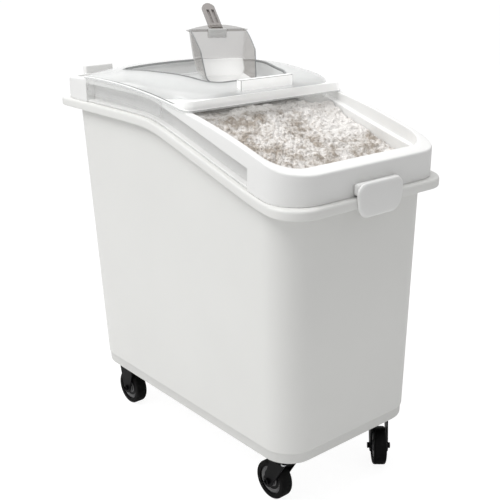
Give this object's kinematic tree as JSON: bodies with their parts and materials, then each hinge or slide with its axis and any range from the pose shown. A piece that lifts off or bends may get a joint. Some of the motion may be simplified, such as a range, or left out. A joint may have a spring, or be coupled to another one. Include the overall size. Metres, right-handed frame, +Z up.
{
  "type": "rolling flour bin",
  "caption": "Slope-fronted white ingredient bin on casters with a lift-off lid frame, a clear sliding cover on curved rails and a clear scoop resting in the cover's well.",
  "frame": {"origin": "middle of the footprint on the floor", "axes": "+Z up, +Y towards the tall rear, -Y towards the low front with the lift tab, +X to the right seen from the front"},
  "size_m": [0.39, 0.752, 0.8591],
  "materials": {
    "tub": "satin white moulded plastic",
    "lid": "satin white moulded plastic",
    "tab": "satin white moulded plastic, bare",
    "clear": "clear moulded plastic",
    "handle": "smoky grey-brown moulded plastic",
    "flour": null,
    "caster_black": "glossy black painted pressed steel",
    "fastener": "plain bright steel",
    "hub": "glossy black moulded plastic",
    "tyre": "smooth black rubber tread"
  },
  "bodies": {
    "bin": {"tub": "tub", "flour": "flour", "caster_bolts": "fastener", "plate_fl": "caster_black", "swivel_ring_fl": "caster_black", "king_pin_fl": "fastener", "plate_fr": "caster_black", "swivel_ring_fr": "caster_black", "king_pin_fr": "fastener", "bracket_rl": "caster_black", "axle_rl": "fastener", "nut_rl": "fastener", "sleeve_rl": "fastener", "bracket_rr": "caster_black", "axle_rr": "fastener", "nut_rr": "fastener", "sleeve_rr": "fastener"},
    "lid": {"lid_frame": "lid", "lift_tab": "tab"},
    "cover": {"sliding_cover": "clear"},
    "scoop": {"scoop_bowl": "clear", "scoop_handle": "handle"},
    "swivel_fl": {"fork_fl": "caster_black", "axle_fl": "fastener", "nut_fl": "fastener", "sleeve_fl": "fastener"},
    "swivel_fr": {"fork_fr": "caster_black", "axle_fr": "fastener", "nut_fr": "fastener", "sleeve_fr": "fastener"},
    "wheel_fl": {"hub_fl": "hub", "tyre_fl": "tyre"},
    "wheel_fr": {"hub_fr": "hub", "tyre_fr": "tyre"},
    "wheel_rl": {"hub_rl": "hub", "tyre_rl": "tyre"},
    "wheel_rr": {"hub_rr": "hub", "tyre_rr": "tyre"}
  },
  "joints": [
    {"name": "lid_lift", "type": "slide", "parent": "bin", "child": "lid", "axis": [0, 0, 1], "range_m": [0, 0.25]},
    {"name": "cover_slide", "type": "hinge", "parent": "lid", "child": "cover", "pos_m": [0, 0.183, -0.8129], "axis": [1, 0, 0], "range_deg": [-3, 8.5]},
    {"name": "scoop_lift", "type": "slide", "parent": "cover", "child": "scoop", "axis": [0, 0, 1], "range_m": [0, 0.2]},
    {"name": "swivel_fl_turn", "type": "hinge", "parent": "bin", "child": "swivel_fl", "pos_m": [-0.126, -0.284, 0.09], "axis": [0, 0, 1], "continuous": true},
    {"name": "swivel_fr_turn", "type": "hinge", "parent": "bin", "child": "swivel_fr", "pos_m": [0.126, -0.284, 0.09], "axis": [0, 0, 1], "continuous": true},
    {"name": "wheel_fl_spin", "type": "hinge", "parent": "swivel_fl", "child": "wheel_fl", "pos_m": [-0.126, -0.256, 0.0375], "axis": [1, 0, 0], "continuous": true},
    {"name": "wheel_fr_spin", "type": "hinge", "parent": "swivel_fr", "child": "wheel_fr", "pos_m": [0.10763, -0.30513, 0.0375], "axis": [-0.7547, 0.6561, 0], "continuous": true},
    {"name": "wheel_rl_spin", "type": "hinge", "parent": "bin", "child": "wheel_rl", "pos_m": [-0.126, 0.223, 0.0375], "axis": [1, 0, 0], "continuous": true},
    {"name": "wheel_rr_spin", "type": "hinge", "parent": "bin", "child": "wheel_rr", "pos_m": [0.126, 0.223, 0.0375], "axis": [1, 0, 0], "continuous": true}
  ]
}
